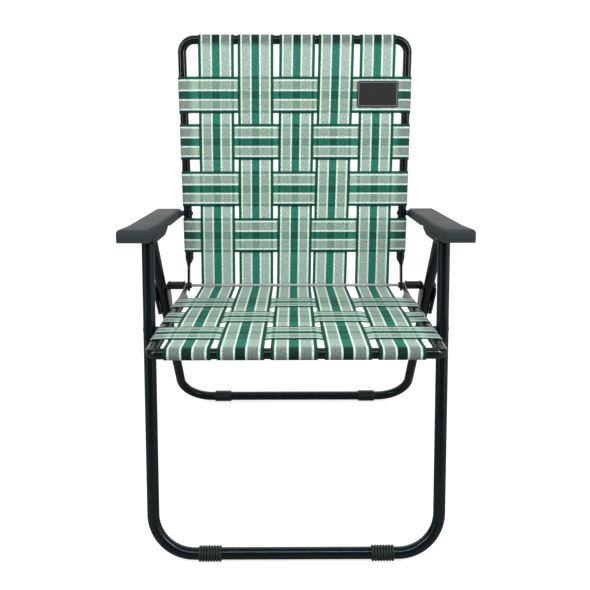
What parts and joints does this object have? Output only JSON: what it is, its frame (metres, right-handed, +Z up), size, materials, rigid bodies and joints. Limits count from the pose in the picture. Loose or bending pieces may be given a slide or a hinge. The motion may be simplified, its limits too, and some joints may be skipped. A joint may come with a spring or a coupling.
{
  "type": "folding lawn chair",
  "caption": "Folding lawn chair with a black tube frame, green striped woven webbing, moulded armrests, a cross rod, side links and ribbed foot sleeves; the frame folds flat.",
  "frame": {"origin": "Floor level, in the middle of the chair's width and depth, with the chair unfolded.", "axes": "Z is up, Y runs from the front of the seat to the back, X runs across the chair."},
  "size_m": [0.61, 0.6444, 0.9056],
  "materials": {
    "frame_paint": "satin",
    "arm_plastic": "satin",
    "foot_rubber": "matte",
    "spacer_plastic": "satin",
    "zinc_steel": "satin",
    "black_steel": "satin",
    "webbing": "matte",
    "patch_cloth": "matte"
  },
  "bodies": {
    "armrests": {"arm_pivot_bolt_left": "black_steel", "arm_pivot_bolt_right": "black_steel", "armrest_left": "arm_plastic", "armrest_right": "arm_plastic", "back_pivot_stud_left": "black_steel", "back_pivot_stud_right": "black_steel", "rear_leg_pivot_bolt_left": "black_steel", "rear_leg_pivot_bolt_right": "black_steel"},
    "back": {"back_cross_strap_1": "webbing", "back_cross_strap_2": "webbing", "back_cross_strap_3": "webbing", "back_cross_strap_4": "webbing", "back_frame": "frame_paint", "back_strap_1": "webbing", "back_strap_2": "webbing", "back_strap_3": "webbing", "back_strap_4": "webbing", "back_strap_5": "webbing", "label_patch": "patch_cloth"},
    "seat": {"cross_rod": "zinc_steel", "link_washer_left": "black_steel", "link_washer_right": "black_steel", "rail_washer_left": "black_steel", "rail_washer_right": "black_steel", "rod_nut_left": "black_steel", "rod_nut_right": "black_steel", "rod_spacer_left": "spacer_plastic", "rod_spacer_right": "spacer_plastic", "seat_cross_strap_1": "webbing", "seat_cross_strap_2": "webbing", "seat_cross_strap_3": "webbing", "seat_frame": "frame_paint", "seat_strap_1": "webbing", "seat_strap_2": "webbing", "seat_strap_3": "webbing", "seat_strap_4": "webbing", "seat_strap_5": "webbing"},
    "front_leg": {"front_foot_sleeve_left": "foot_rubber", "front_foot_sleeve_right": "foot_rubber", "front_leg_frame": "frame_paint", "seat_pivot_bolt_left": "black_steel", "seat_pivot_bolt_right": "black_steel", "seat_pivot_spacer_left": "spacer_plastic", "seat_pivot_spacer_right": "spacer_plastic"},
    "links": {"link_left": "frame_paint", "link_pin_left": "zinc_steel", "link_pin_right": "zinc_steel", "link_right": "frame_paint"},
    "rear_leg": {"link_rivet_left": "zinc_steel", "link_rivet_right": "zinc_steel", "rear_foot_sleeve_left": "foot_rubber", "rear_foot_sleeve_right": "foot_rubber", "rear_leg_frame": "frame_paint"}
  },
  "joints": [
    {"name": "seat_fold", "type": "hinge", "parent": "front_leg", "child": "seat", "pos_m": [0, -0.17187, 0.41524], "axis": [-1, 0, 0], "range_deg": [0, 88]},
    {"name": "armrest_fold", "type": "hinge", "parent": "front_leg", "child": "armrests", "pos_m": [0, -0.12906, 0.568], "axis": [-1, 0, 0], "range_deg": [0, 88]},
    {"name": "back_fold", "type": "hinge", "parent": "seat", "child": "back", "pos_m": [0, 0.13404, 0.3869], "axis": [1, 0, 0], "range_deg": [0, 88]},
    {"name": "rear_leg_fold", "type": "hinge", "parent": "armrests", "child": "rear_leg", "pos_m": [0, 0.0258, 0.55363], "axis": [1, 0, 0], "range_deg": [0, 42.58]},
    {"name": "link_fold", "type": "hinge", "parent": "rear_leg", "child": "links", "pos_m": [0, 0.1457, 0.32395], "axis": [-1, 0, 0], "range_deg": [0, 119.2]}
  ],
  "couplings": [
    {"joint": "armrest_fold", "follows": "seat_fold", "ratio": 1},
    {"joint": "back_fold", "follows": "seat_fold", "ratio": 1},
    {"joint": "rear_leg_fold", "follows": "seat_fold", "ratio": 0.4839},
    {"joint": "link_fold", "follows": "seat_fold", "ratio": 1.3545}
  ]
}
